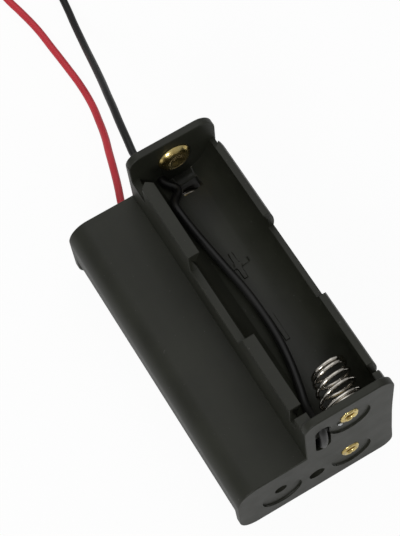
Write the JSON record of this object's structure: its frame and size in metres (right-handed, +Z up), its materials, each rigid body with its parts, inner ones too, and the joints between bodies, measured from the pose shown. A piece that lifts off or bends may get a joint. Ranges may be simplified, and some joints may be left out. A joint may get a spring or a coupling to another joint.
{
  "type": "cylindrical cell holder",
  "caption": "Moulded holder for round cells in a stepped stack, with coil spring and button contacts and two flying leads.",
  "frame": {"origin": "middle of the underside of the end plates, on the surface the holder stands on, leads left out", "axes": "+Z up, away from the surface; +Y along the cells towards the leads; +X towards the side that carries the upper bay"},
  "size_m": [0.0478, 0.1384, 0.03],
  "materials": {
    "housing": "moulded, slight sheen",
    "spring_wire": "nickel plated wire",
    "brass_contact": "stamped, lightly polished",
    "plated_strip": "nickel plated sheet",
    "solder": "tinned",
    "black_insulation": "smooth flexible vinyl",
    "red_insulation": "smooth flexible vinyl",
    "tie": "smooth"
  },
  "bodies": {
    "holder": {"housing": "housing", "top_button": "brass_contact", "right_button": "brass_contact", "left_button": "brass_contact", "top_rivet": "brass_contact", "right_rivet": "brass_contact", "near_strip": "plated_strip", "far_strip": "plated_strip", "lead_joint": "solder", "black_lead_run": "black_insulation", "black_lead_tail": "solder", "black_lead": "black_insulation", "black_lead_coil": "black_insulation", "black_lead_tie": "tie", "red_lead": "red_insulation", "red_lead_coil": "red_insulation", "red_lead_tie": "tie"},
    "top_spring_body": {"top_spring": "spring_wire"},
    "right_spring_body": {"right_spring": "spring_wire"},
    "left_spring_body": {"left_spring": "spring_wire"}
  },
  "joints": [
    {"name": "top_spring_press", "type": "slide", "parent": "holder", "child": "top_spring_body", "axis": [0, -1, 0], "range_m": [0, 0.0029], "stiffness_N_per_m": 400, "deforming": ["top_spring"]},
    {"name": "right_spring_press", "type": "slide", "parent": "holder", "child": "right_spring_body", "axis": [0, 1, 0], "range_m": [0, 0.0029], "stiffness_N_per_m": 400, "deforming": ["right_spring"]},
    {"name": "left_spring_press", "type": "slide", "parent": "holder", "child": "left_spring_body", "axis": [0, -1, 0], "range_m": [0, 0.0029], "stiffness_N_per_m": 400, "deforming": ["left_spring"]}
  ]
}
